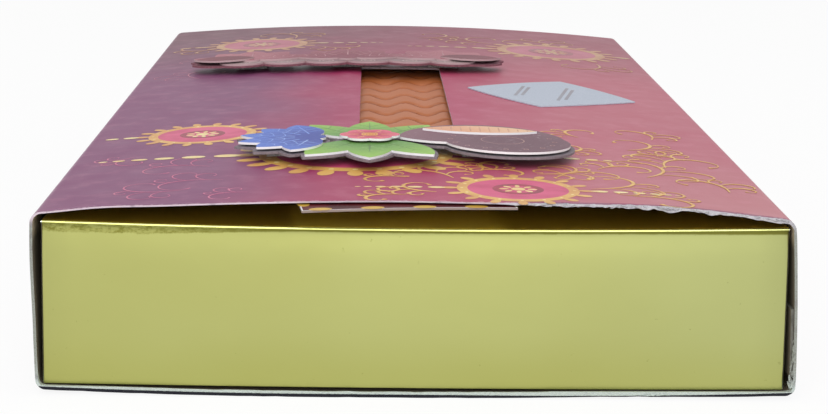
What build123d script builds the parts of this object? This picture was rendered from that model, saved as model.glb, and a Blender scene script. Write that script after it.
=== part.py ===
from build123d import *
import math
import os

# Sweet box: a printed board sleeve open at both ends, a gold tray that slides in it,
# a padded sheet and card dividers in the tray, and die-cut toppers on the sleeve.
# Millimetres. X is across the box, -Y is the near open end, +Z is up.
# The origin is the centre of the flat middle of the sleeve's base.

os.makedirs("parts", exist_ok=True)

overrun = 6.0

# sleeve
sleeve_width = 152.0
sleeve_length = 305.0
corner_room = 1.55
crown_rise = 3.5
base_sag = 1.1
base_flat = 40.0
wall_bulge = 0.3
board = 0.6
sleeve_fold_radius = 2.0
flap_height = 14.0
flap_foot = 5.0

# window in the top panel
window_width = 22.7
window_length = 131.0
window_corner = 1.5
window_x = -0.6
window_setback = 66.5

# gold tray
tray_side_gap = 1.1
tray_under_gap = 0.35
tray_end_recess = 1.5
tray_height = 33.4
gold_board = 0.5
end_ledge = 24.0
side_ledge = 6.5
fold_radius = 0.9
rim_radius = 0.35
foot_slit = 0.4

# padded sheet with its embossed wave
pad_thickness = 3.0
pad_edge_gap = 0.6
pad_edge_radius = 0.9
wave_length = 10.3
wave_height = 8.0
wave_pitch = 13.6
groove_width = 3.0
groove_depth = 0.6
wave_margin = 7.0

# card dividers
divider_card = 0.6
divider_gap = 0.4
slot_clearance = 0.2
cross_count = 3

# insert card under the front edge of the top panel
insert_width = 42.6
insert_length = 66.0
insert_card = 0.5
insert_gap = 0.3
insert_overhang = 5.5
insert_left = 22.6
insert_angle = 6.5

# layered toppers on foam pads
foam_thickness = 2.0
foam_size = 9.0
layer_card = 0.5
backing_margin = 0.9

# near topper
near_x = -3.0
near_setback = 54.5
leaf_length = 24.0
leaf_width = 10.0
leaf_count = 3
leaf_fan_angle = 70.0
leaf_setback = 6.5
petal_length = 17.0
petal_width = 8.5
petal_count = 6
petal_fan_angle = 150.0
petal_setback = 19.0
drop_length = 37.0
drop_width = 36.0
crescent_length = 26.0
crescent_width = 9.0
blossom_petals = 6
blossom_reach = 3.6
blossom_radius = 3.1

# far topper
far_x = -16.0
far_setback = 193.5
spray_pitch = 28.0
spray_count = 3
far_petal_length = 18.0
far_petal_width = 9.5
far_petal_count = 5
far_petal_fan_angle = 140.0
scallop_radius = 7.0
scallop_pitch = 12.0
scallop_count = 6
bud_length = 17.0
bud_width = 10.0

# lozenge label on the top panel
label_length = 50.6
label_width = 45.6
label_bow = 1.2
label_inset = 36.4
label_setback = 152.5
label_angle = -11.0
label_paper = 0.3
label_glue = 0.05

near_edge = -sleeve_length / 2
half_width = sleeve_width / 2
tray_lift = base_sag + board + tray_under_gap
tray_top = tray_lift + tray_height
corner_height = tray_top + corner_room
crown_radius = (half_width**2 + crown_rise**2) / (2 * crown_rise)
crown_centre = corner_height + crown_rise - crown_radius
wall_half = (corner_height - base_sag) / 2
wall_radius = (wall_half**2 + wall_bulge**2) / (2 * wall_bulge)
wall_middle = base_sag + wall_half
wall_centre = half_width + wall_bulge - wall_radius
base_run = half_width - base_flat / 2
base_radius = (base_run**2 + base_sag**2) / (2 * base_sag)

tray_width = sleeve_width - 2 * (board + tray_side_gap)
tray_length = sleeve_length - 2 * tray_end_recess
tray_floor = tray_lift + gold_board
well_width = tray_width - 2 * side_ledge
well_length = tray_length - 2 * end_ledge

pad_width = well_width - 2 * pad_edge_gap
pad_length = well_length - 2 * pad_edge_gap
pad_base = tray_top - pad_thickness
divider_height = pad_base - tray_floor
slot_width = divider_card + 2 * slot_clearance
slot_height = divider_height / 2 + slot_clearance
cross_pitch = well_length / (cross_count + 1)
cross_places = [cross_pitch * (k - (cross_count - 1) / 2) for k in range(cross_count)]

window_y = near_edge + window_setback + window_length / 2
near_y = near_edge + near_setback
far_y = near_edge + far_setback
label_x = half_width - label_inset
label_y = near_edge + label_setback
backing_level = foam_thickness
first_level = backing_level + layer_card
second_level = first_level + layer_card
third_level = second_level + layer_card


def save(piece, name):
    """Label a finished piece and write it under its name."""
    piece.label = name
    export_step(piece, f"parts/{name}.step")


def sleeve_outline(inset):
    """Section of the sleeve in X and Z, drawn in from its outer face by an inset."""
    with BuildSketch() as over_base:
        with Locations((-base_flat / 2, base_radius), (base_flat / 2, base_radius)):
            Circle(base_radius - inset)
        with Locations((0, base_radius)):
            Rectangle(base_flat, 2 * (base_radius - inset))
    with BuildSketch() as section:
        with Locations((0, crown_centre)):
            Circle(crown_radius - inset)
        for side in (-1, 1):
            with Locations((side * wall_centre, wall_middle)):
                Circle(wall_radius - inset, mode=Mode.INTERSECT)
        add(over_base.sketch, mode=Mode.INTERSECT)
        corners = section.vertices().filter_by(lambda v: abs(v.X) > base_flat)
        fillet(corners, radius=sleeve_fold_radius - inset)
    return section.sketch


def crowned_card(outline, lift, thickness):
    """Card cut to an outline and bent to the arch of the top panel, a lift above it."""
    with BuildPart() as card:
        with BuildSketch(Plane.XY.offset(corner_height)):
            add(outline)
        extrude(amount=crown_rise + lift + thickness + overrun)
        with BuildSketch(Plane.XZ):
            with Locations((0, crown_centre)):
                Circle(crown_radius + lift + thickness)
                Circle(crown_radius + lift, mode=Mode.SUBTRACT)
        extrude(amount=sleeve_length, both=True, mode=Mode.INTERSECT)
    return card.part


def leaf(length, width, margin=0.0):
    """Pointed leaf along +X from its stalk, each side one arc, grown by a margin."""
    start, end, bow = -margin, length + margin, width / 2 + margin
    with BuildSketch() as blade:
        with BuildLine():
            ThreePointArc((start, 0), (length / 2, bow), (end, 0))
            ThreePointArc((end, 0), (length / 2, -bow), (start, 0))
        make_face()
    return blade.sketch


def spray(count, fan_angle, length, width, margin=0.0):
    """Leaves that open evenly over an angle about +X from one round stalk."""
    with BuildSketch() as opened:
        Circle(width / 3 + margin)
        for k in range(count):
            with Locations(Location((0, 0), fan_angle * (k / (count - 1) - 1 / 2))):
                add(leaf(length, width, margin))
    return opened.sketch


def curved_drop(length, width, margin=0.0):
    """Curved drop along +X, tip at its start and round at its end, grown by a margin."""
    crest_share, end_share, belly_share = (0.46, 0.50), (1.0, 0.06), (0.70, -0.47)
    waist_share, hollow_share, tip_share = (0.28, -0.17), (0.13, -0.12), (0, 0)

    def place(share):
        return (share[0] * (length + 2 * margin) - margin, share[1] * (width + 2 * margin))

    with BuildSketch() as drop:
        with BuildLine():
            ThreePointArc(place(tip_share), place(crest_share), place(end_share))
            ThreePointArc(place(end_share), place(belly_share), place(waist_share))
            ThreePointArc(place(waist_share), place(hollow_share), place(tip_share))
        make_face()
    return drop.sketch


def blossom(margin=0.0):
    """Small flower: round petals on a ring about a round middle, grown by a margin."""
    with BuildSketch() as flower:
        Circle(blossom_reach)
        with PolarLocations(blossom_reach, blossom_petals):
            Circle(blossom_radius + margin)
    return flower.sketch


def squares(places):
    """Square foam pads centred on their places."""
    with BuildSketch() as pads:
        with Locations(*places):
            Rectangle(foam_size, foam_size)
    return pads.sketch


# sleeve: one folded sheet, its glue flap inside the right wall, and its window
with BuildSketch() as sleeve_bore:
    add(sleeve_outline(board))
    with Locations((half_width, flap_foot + flap_height / 2)):
        Rectangle(half_width, flap_height, mode=Mode.SUBTRACT)
    add(sleeve_outline(2 * board))
with BuildPart() as sleeve:
    with BuildSketch(Plane.XZ.offset(-sleeve_length / 2)):
        add(sleeve_outline(0))
        add(sleeve_bore.sketch, mode=Mode.SUBTRACT)
    extrude(amount=sleeve_length)
    with BuildSketch(Plane.XY.offset(corner_height)):
        with Locations((window_x, window_y)):
            RectangleRounded(window_width, window_length, window_corner)
    extrude(amount=crown_rise + overrun, mode=Mode.SUBTRACT)
save(sleeve.part, "sleeve")

# space inside the tray's frame, between its outer and inner walls and under its ledge
with BuildPart() as frame_space:
    with BuildSketch(Plane.XY.offset(tray_floor)):
        Rectangle(tray_width - 2 * gold_board, tray_length - 2 * gold_board)
    extrude(amount=tray_height - 2 * gold_board)
    fillet(frame_space.faces().sort_by(Axis.Z)[-1].edges(), radius=fold_radius - gold_board)
    with BuildSketch(Plane.XY.offset(tray_floor)):
        Rectangle(well_width + 2 * gold_board, well_length + 2 * gold_board)
    extrude(amount=tray_height, mode=Mode.SUBTRACT)

# gold tray: floor, outer walls with a rolled top fold, ledge, and inner walls whose
# foot stops just above the floor
with BuildPart() as tray:
    with BuildSketch(Plane.XY.offset(tray_lift)):
        Rectangle(tray_width, tray_length)
    extrude(amount=tray_height)
    fillet(tray.faces().sort_by(Axis.Z)[-1].edges(), radius=fold_radius)
    with BuildSketch(Plane.XY.offset(tray_floor)):
        Rectangle(well_width, well_length)
    extrude(amount=tray_height, mode=Mode.SUBTRACT)
    fillet(tray.faces().sort_by(Axis.Z)[-1].inner_wires()[0].edges(), radius=rim_radius)
    add(frame_space.part, mode=Mode.SUBTRACT)
    with BuildSketch(Plane.XY.offset(tray_floor)):
        Rectangle(well_width + 2 * gold_board, well_length + 2 * gold_board)
        Rectangle(well_width, well_length, mode=Mode.SUBTRACT)
    extrude(amount=foot_slit, mode=Mode.SUBTRACT)
save(tray.part, "tray")

# padded sheet: rounded rim and rows of wavy grooves in its top
wave_count = int((pad_width - 2 * wave_margin) / wave_length)
wave_rows = int((pad_length - 2 * wave_margin - wave_height) / wave_pitch) + 1


def wave_points(rise):
    """Points along one embossed wave, four to a wave, lifted by a rise."""
    places = [wave_length * (k / 4 - wave_count / 2) for k in range(4 * wave_count + 1)]
    return [(x, rise + wave_height / 2 * math.cos(math.tau * x / wave_length)) for x in places]


with BuildSketch() as groove:
    with BuildLine():
        near_side = Spline(*wave_points(-groove_width / 2))
        far_side = Spline(*wave_points(groove_width / 2))
        Line(near_side @ 0, far_side @ 0)
        Line(near_side @ 1, far_side @ 1)
    make_face()
with BuildPart() as cushion_pad:
    with BuildSketch(Plane.XY.offset(pad_base)):
        Rectangle(pad_width, pad_length)
    extrude(amount=pad_thickness)
    fillet(cushion_pad.faces().sort_by(Axis.Z)[-1].edges(), radius=pad_edge_radius)
    with BuildSketch(Plane.XY.offset(tray_top)):
        with GridLocations(wave_pitch, wave_pitch, 1, wave_rows):
            add(groove.sketch)
    extrude(amount=-groove_depth, mode=Mode.SUBTRACT)
save(cushion_pad.part, "cushion_pad")

# long divider, with slots down from its top edge
with BuildPart() as divider_long:
    with BuildSketch(Plane.XY.offset(tray_floor)):
        Rectangle(divider_card, well_length - 2 * divider_gap)
    extrude(amount=divider_height)
    with BuildSketch(Plane.XY.offset(pad_base)):
        with Locations(*[(0, place) for place in cross_places]):
            Rectangle(divider_card + overrun, slot_width)
    extrude(amount=-slot_height, mode=Mode.SUBTRACT)
save(divider_long.part, "divider_long")

# cross dividers, each with a slot up from its bottom edge
for index, place in enumerate(cross_places):
    with BuildPart() as divider_cross:
        with BuildSketch(Plane.XY.offset(tray_floor)):
            with Locations((0, place)):
                Rectangle(well_width - 2 * divider_gap, divider_card)
        extrude(amount=divider_height)
        with BuildSketch(Plane.XY.offset(tray_floor)):
            with Locations((0, place)):
                Rectangle(slot_width, divider_card + overrun)
        extrude(amount=slot_height, mode=Mode.SUBTRACT)
    save(divider_cross.part, f"divider_cross_{index + 1}")

# insert card, askew close under the top panel, its front corner out over the tray
with BuildSketch() as insert_outline:
    with Locations(Location((-insert_left, near_edge - insert_overhang), insert_angle)):
        Rectangle(insert_width, insert_length, align=(Align.MIN, Align.MIN))
insert_lift = -(board + insert_gap + insert_card)
save(crowned_card(insert_outline.sketch, insert_lift, insert_card), "insert_card")

# near topper: leaf sprays across the middle, a fan of petals to the left, a curved
# drop with a crescent on it to the right, and a blossom over the stalks
leaf_x = near_x - leaf_setback
petal_x = near_x - petal_setback
crescent_x = near_x + (drop_length - crescent_length) / 2
crescent_y = near_y + drop_width / 4


def leaf_sprays(margin=0.0):
    """The two sprays that point away and near from the middle of the near topper."""
    with BuildSketch() as sprays:
        for turn in (90, -90):
            with Locations(Location((leaf_x, near_y), turn)):
                add(spray(leaf_count, leaf_fan_angle, leaf_length, leaf_width, margin))
    return sprays.sketch


def petal_fan(margin=0.0):
    """The fan of petals at the left of the near topper."""
    with BuildSketch() as petals:
        with Locations(Location((petal_x, near_y), 180)):
            add(spray(petal_count, petal_fan_angle, petal_length, petal_width, margin))
    return petals.sketch


def near_drop(margin=0.0):
    """The curved drop at the right of the near topper."""
    with BuildSketch() as drop:
        with Locations((near_x, near_y)):
            add(curved_drop(drop_length, drop_width, margin))
    return drop.sketch


with BuildSketch() as crescent:
    with Locations((crescent_x, crescent_y)):
        add(leaf(crescent_length, crescent_width))
with BuildSketch() as near_blossom:
    with Locations((leaf_x, near_y)):
        add(blossom())
with BuildSketch() as near_backing:
    add(leaf_sprays(backing_margin))
    add(petal_fan(backing_margin))
    add(near_drop(backing_margin))
    with Locations((leaf_x, near_y)):
        add(blossom(backing_margin))
near_pads = squares([(petal_x - petal_length / 3, near_y), (leaf_x, near_y), (near_x + drop_length / 2, near_y)])
save(crowned_card(near_pads, 0, foam_thickness), "near_foam_pads")
save(crowned_card(near_backing.sketch, backing_level, layer_card), "near_backing")
save(crowned_card(leaf_sprays(), first_level, layer_card), "near_leaves")
save(crowned_card(petal_fan(), second_level, layer_card), "near_petals")
save(crowned_card(near_drop(), second_level, layer_card), "near_paisley")
save(crowned_card(crescent.sketch, third_level, layer_card), "near_crescent")
save(crowned_card(near_blossom.sketch, third_level, layer_card), "near_blossom")

# far topper: a scalloped ribbon, three fans of petals on it and a bud at each end
ribbon_half = (scallop_count - 1) * scallop_pitch / 2 + scallop_radius


def ribbon(margin=0.0):
    """Row of round scallops along the near side of the far topper."""
    with BuildSketch() as band:
        with Locations((far_x, far_y)):
            with GridLocations(scallop_pitch, scallop_pitch, scallop_count, 1):
                Circle(scallop_radius + margin)
    return band.sketch


def far_sprays(margin=0.0):
    """The fans of petals that open away from the ribbon."""
    with BuildSketch() as fans:
        for k in range(spray_count):
            x = far_x + spray_pitch * (k - (spray_count - 1) / 2)
            with Locations(Location((x, far_y), 90)):
                add(spray(far_petal_count, far_petal_fan_angle, far_petal_length, far_petal_width, margin))
    return fans.sketch


def end_buds(margin=0.0):
    """The bud that lies outwards from each end of the ribbon."""
    with BuildSketch() as buds:
        for side, turn in ((1, 0), (-1, 180)):
            with Locations(Location((far_x + side * (ribbon_half - bud_width), far_y), turn)):
                add(leaf(bud_length, bud_width, margin))
    return buds.sketch


with BuildSketch() as far_backing:
    add(ribbon(backing_margin))
    add(far_sprays(backing_margin))
    add(end_buds(backing_margin))
far_pads = squares([(far_x + spray_pitch * k, far_y + far_petal_length / 2) for k in (-1, 0, 1)])
save(crowned_card(far_pads, 0, foam_thickness), "far_foam_pads")
save(crowned_card(far_backing.sketch, backing_level, layer_card), "far_backing")
save(crowned_card(ribbon(), first_level, layer_card), "far_ribbon")
save(crowned_card(far_sprays(), second_level, layer_card), "far_petals")
save(crowned_card(end_buds(), third_level, layer_card), "far_buds")

# lozenge label with slightly bowed sides, on its film of glue
with BuildSketch() as label_outline:
    with Locations(Location((label_x, label_y), label_angle)):
        with BuildSketch(mode=Mode.PRIVATE) as lozenge:
            tips = [(label_width / 2, 0), (0, label_length / 2), (-label_width / 2, 0), (0, -label_length / 2)]
            with BuildLine():
                for k in range(4):
                    here, there = Vector(*tips[k - 1]), Vector(*tips[k])
                    middle = (here + there) / 2
                    ThreePointArc(here, middle + middle.normalized() * label_bow, there)
            make_face()
        add(lozenge.sketch)
save(crowned_card(label_outline.sketch, label_glue, label_paper), "top_label")
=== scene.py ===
"""Dresses a sweet box: a printed board sleeve, a gold tray, a padded sheet and card toppers."""

import contextlib
import math
import random

import bmesh
import bpy
from mathutils import Matrix, Vector, noise


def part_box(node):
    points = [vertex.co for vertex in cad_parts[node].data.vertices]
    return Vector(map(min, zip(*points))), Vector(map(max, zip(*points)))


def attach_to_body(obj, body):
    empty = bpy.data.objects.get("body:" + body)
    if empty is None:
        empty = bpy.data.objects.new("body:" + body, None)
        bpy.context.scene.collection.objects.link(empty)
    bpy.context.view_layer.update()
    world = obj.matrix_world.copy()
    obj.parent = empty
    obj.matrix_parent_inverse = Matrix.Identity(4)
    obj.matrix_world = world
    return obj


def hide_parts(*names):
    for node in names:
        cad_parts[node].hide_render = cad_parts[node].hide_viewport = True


bl_info = {
    "name": "Sweet box",
    "version": (1, 0, 0),
    "blender": (4, 5, 0),
    "location": "3D View > Sidebar > Sweet box",
    "description": "Dresses a printed sleeve, its gold tray, padded sheet and card toppers",
    "category": "Object",
}

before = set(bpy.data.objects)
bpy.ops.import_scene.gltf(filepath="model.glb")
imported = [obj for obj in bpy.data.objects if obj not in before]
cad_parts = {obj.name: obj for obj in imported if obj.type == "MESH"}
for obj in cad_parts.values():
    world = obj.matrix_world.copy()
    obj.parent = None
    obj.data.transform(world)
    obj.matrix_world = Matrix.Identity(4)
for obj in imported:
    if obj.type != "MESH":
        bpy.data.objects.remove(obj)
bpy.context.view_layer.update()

MM = 0.001
# the axes, as seen from the front of the box
ACROSS, ALONG, UP = range(3)
# the sleeve's material slots after that of its print
INSIDE, CORE, FLAP_EDGE = 1, 2, 3
# how close two places are that count as one
CLOSE = 0.01 * MM
# thickness of printed ink
INK = 0.015 * MM
# height of a printed line as a share of its width
RIBBON_FLATNESS = 0.06
# height above which the front edge is the top panel's
PANEL_FOOT = 34 * MM
# bumps of the top panel's worn front edge: height, place across the box and reach, in millimetres
FRONT_BUMPS = ((0.62, 51, 17), (0.35, -62, 8), (-0.22, -24, 26), (-0.2, 12, 14))
# lumps torn out of that edge: place across the box, reach in millimetres and size
TORN_LUMPS = ((45.3, 1.0, 0.55), (49.7, 1.7, 1.0), (57.6, 1.5, 0.45), (69.8, 3.6, 0.6), (34.0, 2.2, 0.2))
sleeve_low, sleeve_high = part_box("sleeve")
tray_low, tray_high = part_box("tray")
pad_low, pad_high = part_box("cushion_pad")
near_end = sleeve_low.y
# the sleeve's front edge in millimetres, as the materials count
mouth = near_end / MM


def linear(red, green, blue):
    """Linear colour of an sRGB one given from 0 to 255."""

    def channel(value):
        share = value / 255
        if share <= 0.04045:
            return share / 12.92
        return ((share + 0.055) / 1.055) ** 2.4

    return (channel(red), channel(green), channel(blue))


def length(name, description, millimetres):
    """Property that holds a length."""
    return bpy.props.FloatProperty(
        name=name, description=description, default=millimetres * MM, unit="LENGTH", precision=5
    )


def colour(name, description, red, green, blue):
    """Property that holds a colour."""
    return bpy.props.FloatVectorProperty(
        name=name, description=description, default=linear(red, green, blue), subtype="COLOR", min=0, max=1
    )


class SleeveSizes(bpy.types.PropertyGroup):
    """Sizes of the printed sleeve."""

    board: length("Board", "Thickness of the folded board", 0.6)
    wall_bulge: length("Wall bulge", "How far the middle of a wall stands out", 0.3)
    crown_rise: length("Crown rise", "Rise of the top panel over its long folds", 3.5)
    base_sag: length("Base sag", "Drop of the base below its long folds", 1.1)
    base_flat: length("Base flat", "Width of the flat middle of the base", 40)
    base_swell: length("Base swell", "How far the base's worn front edge is split open", 0.62)
    fold_radius: length("Fold radius", "Outer radius of the four long folds", 2)
    flap_height: length("Flap height", "Height of the glue flap inside the right wall", 14)
    flap_foot: length("Flap foot", "Height at which the glue flap starts", 5)
    window_width: length("Window width", "Width of the window in the top panel", 22.7)
    window_length: length("Window length", "Length of the window in the top panel", 131)
    window_corner: length("Window corner", "Radius of the window's corners", 1.5)
    window_x: length("Window X", "Middle of the window across the box", -0.6)
    window_setback: length("Window setback", "From the front edge to the window", 66.5)


class TraySizes(bpy.types.PropertyGroup):
    """Sizes of the gold tray."""

    board: length("Board", "Thickness of the gold board", 0.5)
    end_ledge: length("End ledge", "Depth of the ledge at the tray's ends", 24)
    side_ledge: length("Side ledge", "Depth of the ledge at the tray's sides", 6.5)
    fold_radius: length("Fold radius", "Radius of the rolled top fold", 0.55)
    corner_radius: length("Corner radius", "Radius of the upright corners", 0.45)
    rim_radius: length("Rim radius", "Radius of the well's rim", 0.35)
    crease_drop: length("Crease drop", "From the top of the tray down to its crease", 0.95)
    crease_reach: length("Crease reach", "Height over which the wall comes out again below the crease", 5)
    crease_depth: length("Crease depth", "Depth of the crease below the roll", 0.12)
    top_dip: length("Top dip", "Dip in the middle of the tray's end walls", 1.0)
    foot_sag: length("Foot sag", "Sag of the foot of the tray's end walls", 0.42)


class PadSizes(bpy.types.PropertyGroup):
    """Sizes of the padded sheet."""

    wave_length: length("Wave length", "From crest to crest along an embossed wave", 10.3)
    wave_height: length("Wave height", "From crest to trough of an embossed wave", 8)
    wave_pitch: length("Wave pitch", "From one embossed wave to the next", 13.6)
    groove_width: length("Groove width", "Width of an embossed wave", 3)
    groove_depth: length("Groove depth", "Depth of an embossed wave", 0.6)
    edge_radius: length("Edge radius", "Radius of the sheet's soft edge", 1.6)
    crown: length("Crown", "How far the sheet swells in its middle", 3)


class CardSizes(bpy.types.PropertyGroup):
    """Sizes of the insert card and of the toppers' layers."""

    width: length("Width", "Width of the insert card", 42.6)
    depth: length("Depth", "Length of the insert card", 66)
    card: length("Card", "Thickness of the insert card", 0.5)
    gap: length("Gap", "Clearance between the insert card and the top panel", 0.3)
    overhang: length("Overhang", "How far the insert card's near corner stands out", 5.5)
    left: length("Left", "From the middle of the box to the card's near corner", 22.6)
    angle: bpy.props.FloatProperty(
        name="Angle", description="Turn of the askew insert card", default=math.radians(6.5), subtype="ANGLE"
    )
    border: length("Border", "White border of the insert card", 0.3)


class TopperSizes(bpy.types.PropertyGroup):
    """Sizes of the raised toppers and of the lines printed on them."""

    foam: length("Foam", "Thickness of the foam pads", 2)
    layer: length("Layer", "Thickness of one layer of a topper", 0.5)
    leaf_length: length("Leaf length", "Length of a near leaf", 24)
    leaf_width: length("Leaf width", "Width of a near leaf", 10)
    petal_length: length("Petal length", "Length of a near petal", 17)
    petal_width: length("Petal width", "Width of a near petal", 8.5)
    petal_setback: length("Petal setback", "From the leaves' stalk to the petals' stalk", 12.5)
    blossom_reach: length("Blossom reach", "From the blossom's middle to that of a petal", 3.6)
    far_petal_length: length("Far petal length", "Length of a far petal", 18)
    far_petal_width: length("Far petal width", "Width of a far petal", 9.5)
    spray_pitch: length("Spray pitch", "From one far fan of petals to the next", 28)
    scallop_pitch: length("Scallop pitch", "From one scallop of the far ribbon to the next", 12)
    scallop_radius: length("Scallop radius", "Radius of a scallop of the far ribbon", 7)
    line: length("Line", "Width of a printed vein", 0.42)


class PrintColours(bpy.types.PropertyGroup):
    """Colours of the sleeve's print and board."""

    left: colour("Left", "Print along the left side", 118, 60, 100)
    middle: colour("Middle", "Print down the middle", 152, 40, 85)
    right: colour("Right", "Print along the right side", 174, 90, 107)
    far: colour("Far", "Print towards the far end", 106, 68, 78)
    base: colour("Base", "Print of the base", 34, 26, 54)
    board: colour("Board", "Inside of the board", 168, 152, 128)
    core: colour("Core", "Torn core of the board", 168, 175, 170)
    gold: colour("Gold", "Gold line ornament", 222, 176, 92)
    pale_gold: colour("Pale gold", "Pale dots and dashes", 240, 226, 160)
    rose: colour("Rose", "Middle of the medallions", 206, 72, 118)
    maroon: colour("Maroon", "Dark parts of the medallions", 132, 28, 52)
    label: colour("Label", "Paper of the lozenge label", 190, 196, 208)


class PieceColours(bpy.types.PropertyGroup):
    """Colours of the tray, the pad, the insert card and the toppers."""

    gold: colour("Gold", "Gold foil of the tray", 176, 177, 107)
    # deeper gold for faces that look up or down: a painted difference in reflection from the upright gold
    # above
    ledge: colour("Ledge", "Gold foil on the tray's ledge", 243, 220, 86)
    # painted shade along the crease under the rolled top edge
    crease: colour("Crease", "Worn foil along the crease", 108, 106, 40)
    copper: colour("Copper", "Padded sheet", 176, 100, 54)
    # painted shade for the grooves of the padded sheet
    groove: colour("Groove", "Padded sheet in its grooves", 126, 64, 34)
    maroon: colour("Maroon", "Insert card", 84, 10, 16)
    scallop: colour("Scallop", "Scallops on the insert card", 206, 170, 66)
    white: colour("White", "White card", 232, 230, 232)
    green: colour("Green", "Leaves", 142, 186, 74)
    blue: colour("Blue", "Petals", 84, 118, 204)
    plum: colour("Plum", "Curved drop", 120, 78, 92)
    cream: colour("Cream", "Crescent", 226, 186, 150)
    pink: colour("Pink", "Blossom", 214, 96, 120)
    rose: colour("Rose", "Far petals", 164, 96, 108)
    ribbon: colour("Ribbon", "Far scallops", 158, 138, 138)
    bud: colour("Bud", "Far buds", 118, 38, 58)
    grey: colour("Grey", "Divider card", 168, 160, 148)


def sleeve_sizes():
    """Sizes of the sleeve as set in the panel."""
    return bpy.context.scene.sleeve_sizes


def smooth(value, low, high):
    """Share from 0 to 1 that rises smoothly as a value goes from low to high."""
    share = min(1.0, max(0.0, (value - low) / (high - low)))
    return share * share * (3 - 2 * share)


def hump(value, centre, reach):
    """Smooth bump of height 1 about a centre."""
    return math.exp(-(((value - centre) / reach) ** 2))


def ripple(x, y, pitch, seed=0.0):
    """Steady noise between about -1 and 1 with features a pitch apart."""
    return noise.noise(Vector((x / pitch, y / pitch, seed))) * 2


def around(x, y, reach, turn):
    """Place at a reach from a point, at an angle."""
    return (x + reach * math.cos(turn), y + reach * math.sin(turn))


def half_width():
    """Half of the sleeve's width at its folds."""
    return sleeve_high.x - sleeve_sizes().wall_bulge


def corner_height():
    """Height of the two upper folds."""
    return sleeve_high.z - sleeve_sizes().crown_rise


def arch(x):
    """Height of the top panel's outer face over the folds, by the CAD section."""
    rise = sleeve_sizes().crown_rise
    radius = (half_width() ** 2 + rise**2) / (2 * rise)
    return rise - radius + math.sqrt(max(0.0, radius**2 - x**2))


def slack(x, y):
    """How far the worn front of the top panel stands above its plain arch."""
    fade = math.exp(-(max(0.0, y - near_end) / (22 * MM)) ** 1.5)
    rise = sum(height * hump(x, place * MM, reach * MM) for height, place, reach in FRONT_BUMPS)
    return rise * fade * MM


def panel(x, y):
    """Height of the top panel's outer face."""
    return corner_height() + arch(x) + slack(x, y)


def tray_foot(x):
    """Height of the foot of the tray's end walls, which slides over the base's edge."""
    return tray_low.z - bpy.context.scene.tray_sizes.foot_sag * (1 - (x / tray_high.x) ** 2)


def window_edges(margin=0.0):
    """Left, right, near and far edge of the window, each moved out by a margin."""
    sizes = sleeve_sizes()
    half = sizes.window_width / 2 + margin
    near = near_end + sizes.window_setback - margin
    return sizes.window_x - half, sizes.window_x + half, near, near + sizes.window_length + 2 * margin


# helpers for modelling


def only(piece):
    """Selects one piece and nothing else."""
    bpy.ops.object.select_all(action="DESELECT")
    piece.select_set(True)
    bpy.context.view_layer.objects.active = piece
    return piece


@contextlib.contextmanager
def editing(piece, kind="FACE"):
    """Edit mode on one piece, with nothing selected in it at first."""
    only(piece)
    bpy.ops.object.mode_set(mode="EDIT")
    bpy.ops.mesh.select_mode(type=kind)
    bpy.ops.mesh.select_all(action="DESELECT")
    yield
    bpy.ops.object.mode_set(mode="OBJECT")


def pick(kind, test):
    """Selects the edges or faces of the piece in edit mode that pass a test, and counts them."""
    bpy.ops.mesh.select_all(action="DESELECT")
    mesh = bmesh.from_edit_mesh(bpy.context.object.data)
    mesh.normal_update()
    found = [part for part in getattr(mesh, kind) if test(part)]
    for part in found:
        part.select_set(True)
    bmesh.update_edit_mesh(bpy.context.object.data)
    return len(found)


def runs(edge, axis):
    """True if an edge runs along an axis."""
    step = edge.verts[1].co - edge.verts[0].co
    return abs(step[axis]) > 0.999 * step.length


def middle(edge):
    """Middle of an edge."""
    return (edge.verts[0].co + edge.verts[1].co) / 2


def cut(test, cuts):
    """Cuts the edges that pass a test, and the faces between them, into equal parts."""
    pick("edges", test)
    bpy.ops.mesh.subdivide(number_cuts=cuts)


def bevel(test, radius, segments):
    """Rounds the edges that pass a test."""
    pick("edges", test)
    bpy.ops.mesh.bevel(offset=radius, segments=segments, affect="EDGES")


def pull(height):
    """Extrudes what is selected along Z."""
    bpy.ops.mesh.extrude_region_move(TRANSFORM_OT_translate={"value": (0, 0, height)})


def slice_at(places, axis):
    """Cuts the whole piece in edit mode across an axis at each place."""
    normal = Vector((0, 0, 0))
    normal[axis] = 1
    for place in places:
        bpy.ops.mesh.select_all(action="SELECT")
        bpy.ops.mesh.bisect(plane_co=normal * place, plane_no=normal)


def disc(x, y, radius, corners, stretch=None):
    """Adds a flat disc or oval to the piece in edit mode, and selects nothing else."""
    bpy.ops.mesh.select_all(action="DESELECT")
    bpy.ops.mesh.primitive_circle_add(vertices=corners, radius=radius, fill_type="NGON", location=(x, y, 0))
    if stretch:
        bpy.ops.transform.resize(value=(*stretch, 1), center_override=(x, y, 0))


def hollow(width):
    """Leaves a rim of a width of the disc that is selected."""
    bpy.ops.mesh.inset(thickness=width)
    bpy.ops.mesh.delete(type="FACE")


def repeat_round(x, y, count):
    """Copies what is selected round a point, to a count in all."""
    turn = math.tau * (count - 1) / count
    bpy.ops.mesh.spin(steps=count - 1, dupli=True, angle=turn, center=(x, y, 0), axis=(0, 0, 1))


def applied(name):
    """Names the new piece and puts its place and size in its mesh."""
    bpy.context.object.name = name
    bpy.ops.object.transform_apply(location=True, rotation=True, scale=True)
    return bpy.context.object


def block(name, low, high):
    """Box between two corners, to be shaped further."""
    bpy.ops.object.select_all(action="DESELECT")
    low, high = Vector(low), Vector(high)
    bpy.ops.mesh.primitive_cube_add(size=1, location=(low + high) / 2, scale=high - low)
    return applied(name)


def sheet_of(name, low, high, columns, rows, z=0.0):
    """Flat grid between two corners."""
    bpy.ops.object.select_all(action="DESELECT")
    centre = ((low[0] + high[0]) / 2, (low[1] + high[1]) / 2, z)
    bpy.ops.mesh.primitive_grid_add(x_subdivisions=columns, y_subdivisions=rows, size=1, location=centre)
    bpy.ops.transform.resize(value=(high[0] - low[0], high[1] - low[1], 1), center_override=centre)
    return applied(name)


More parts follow.
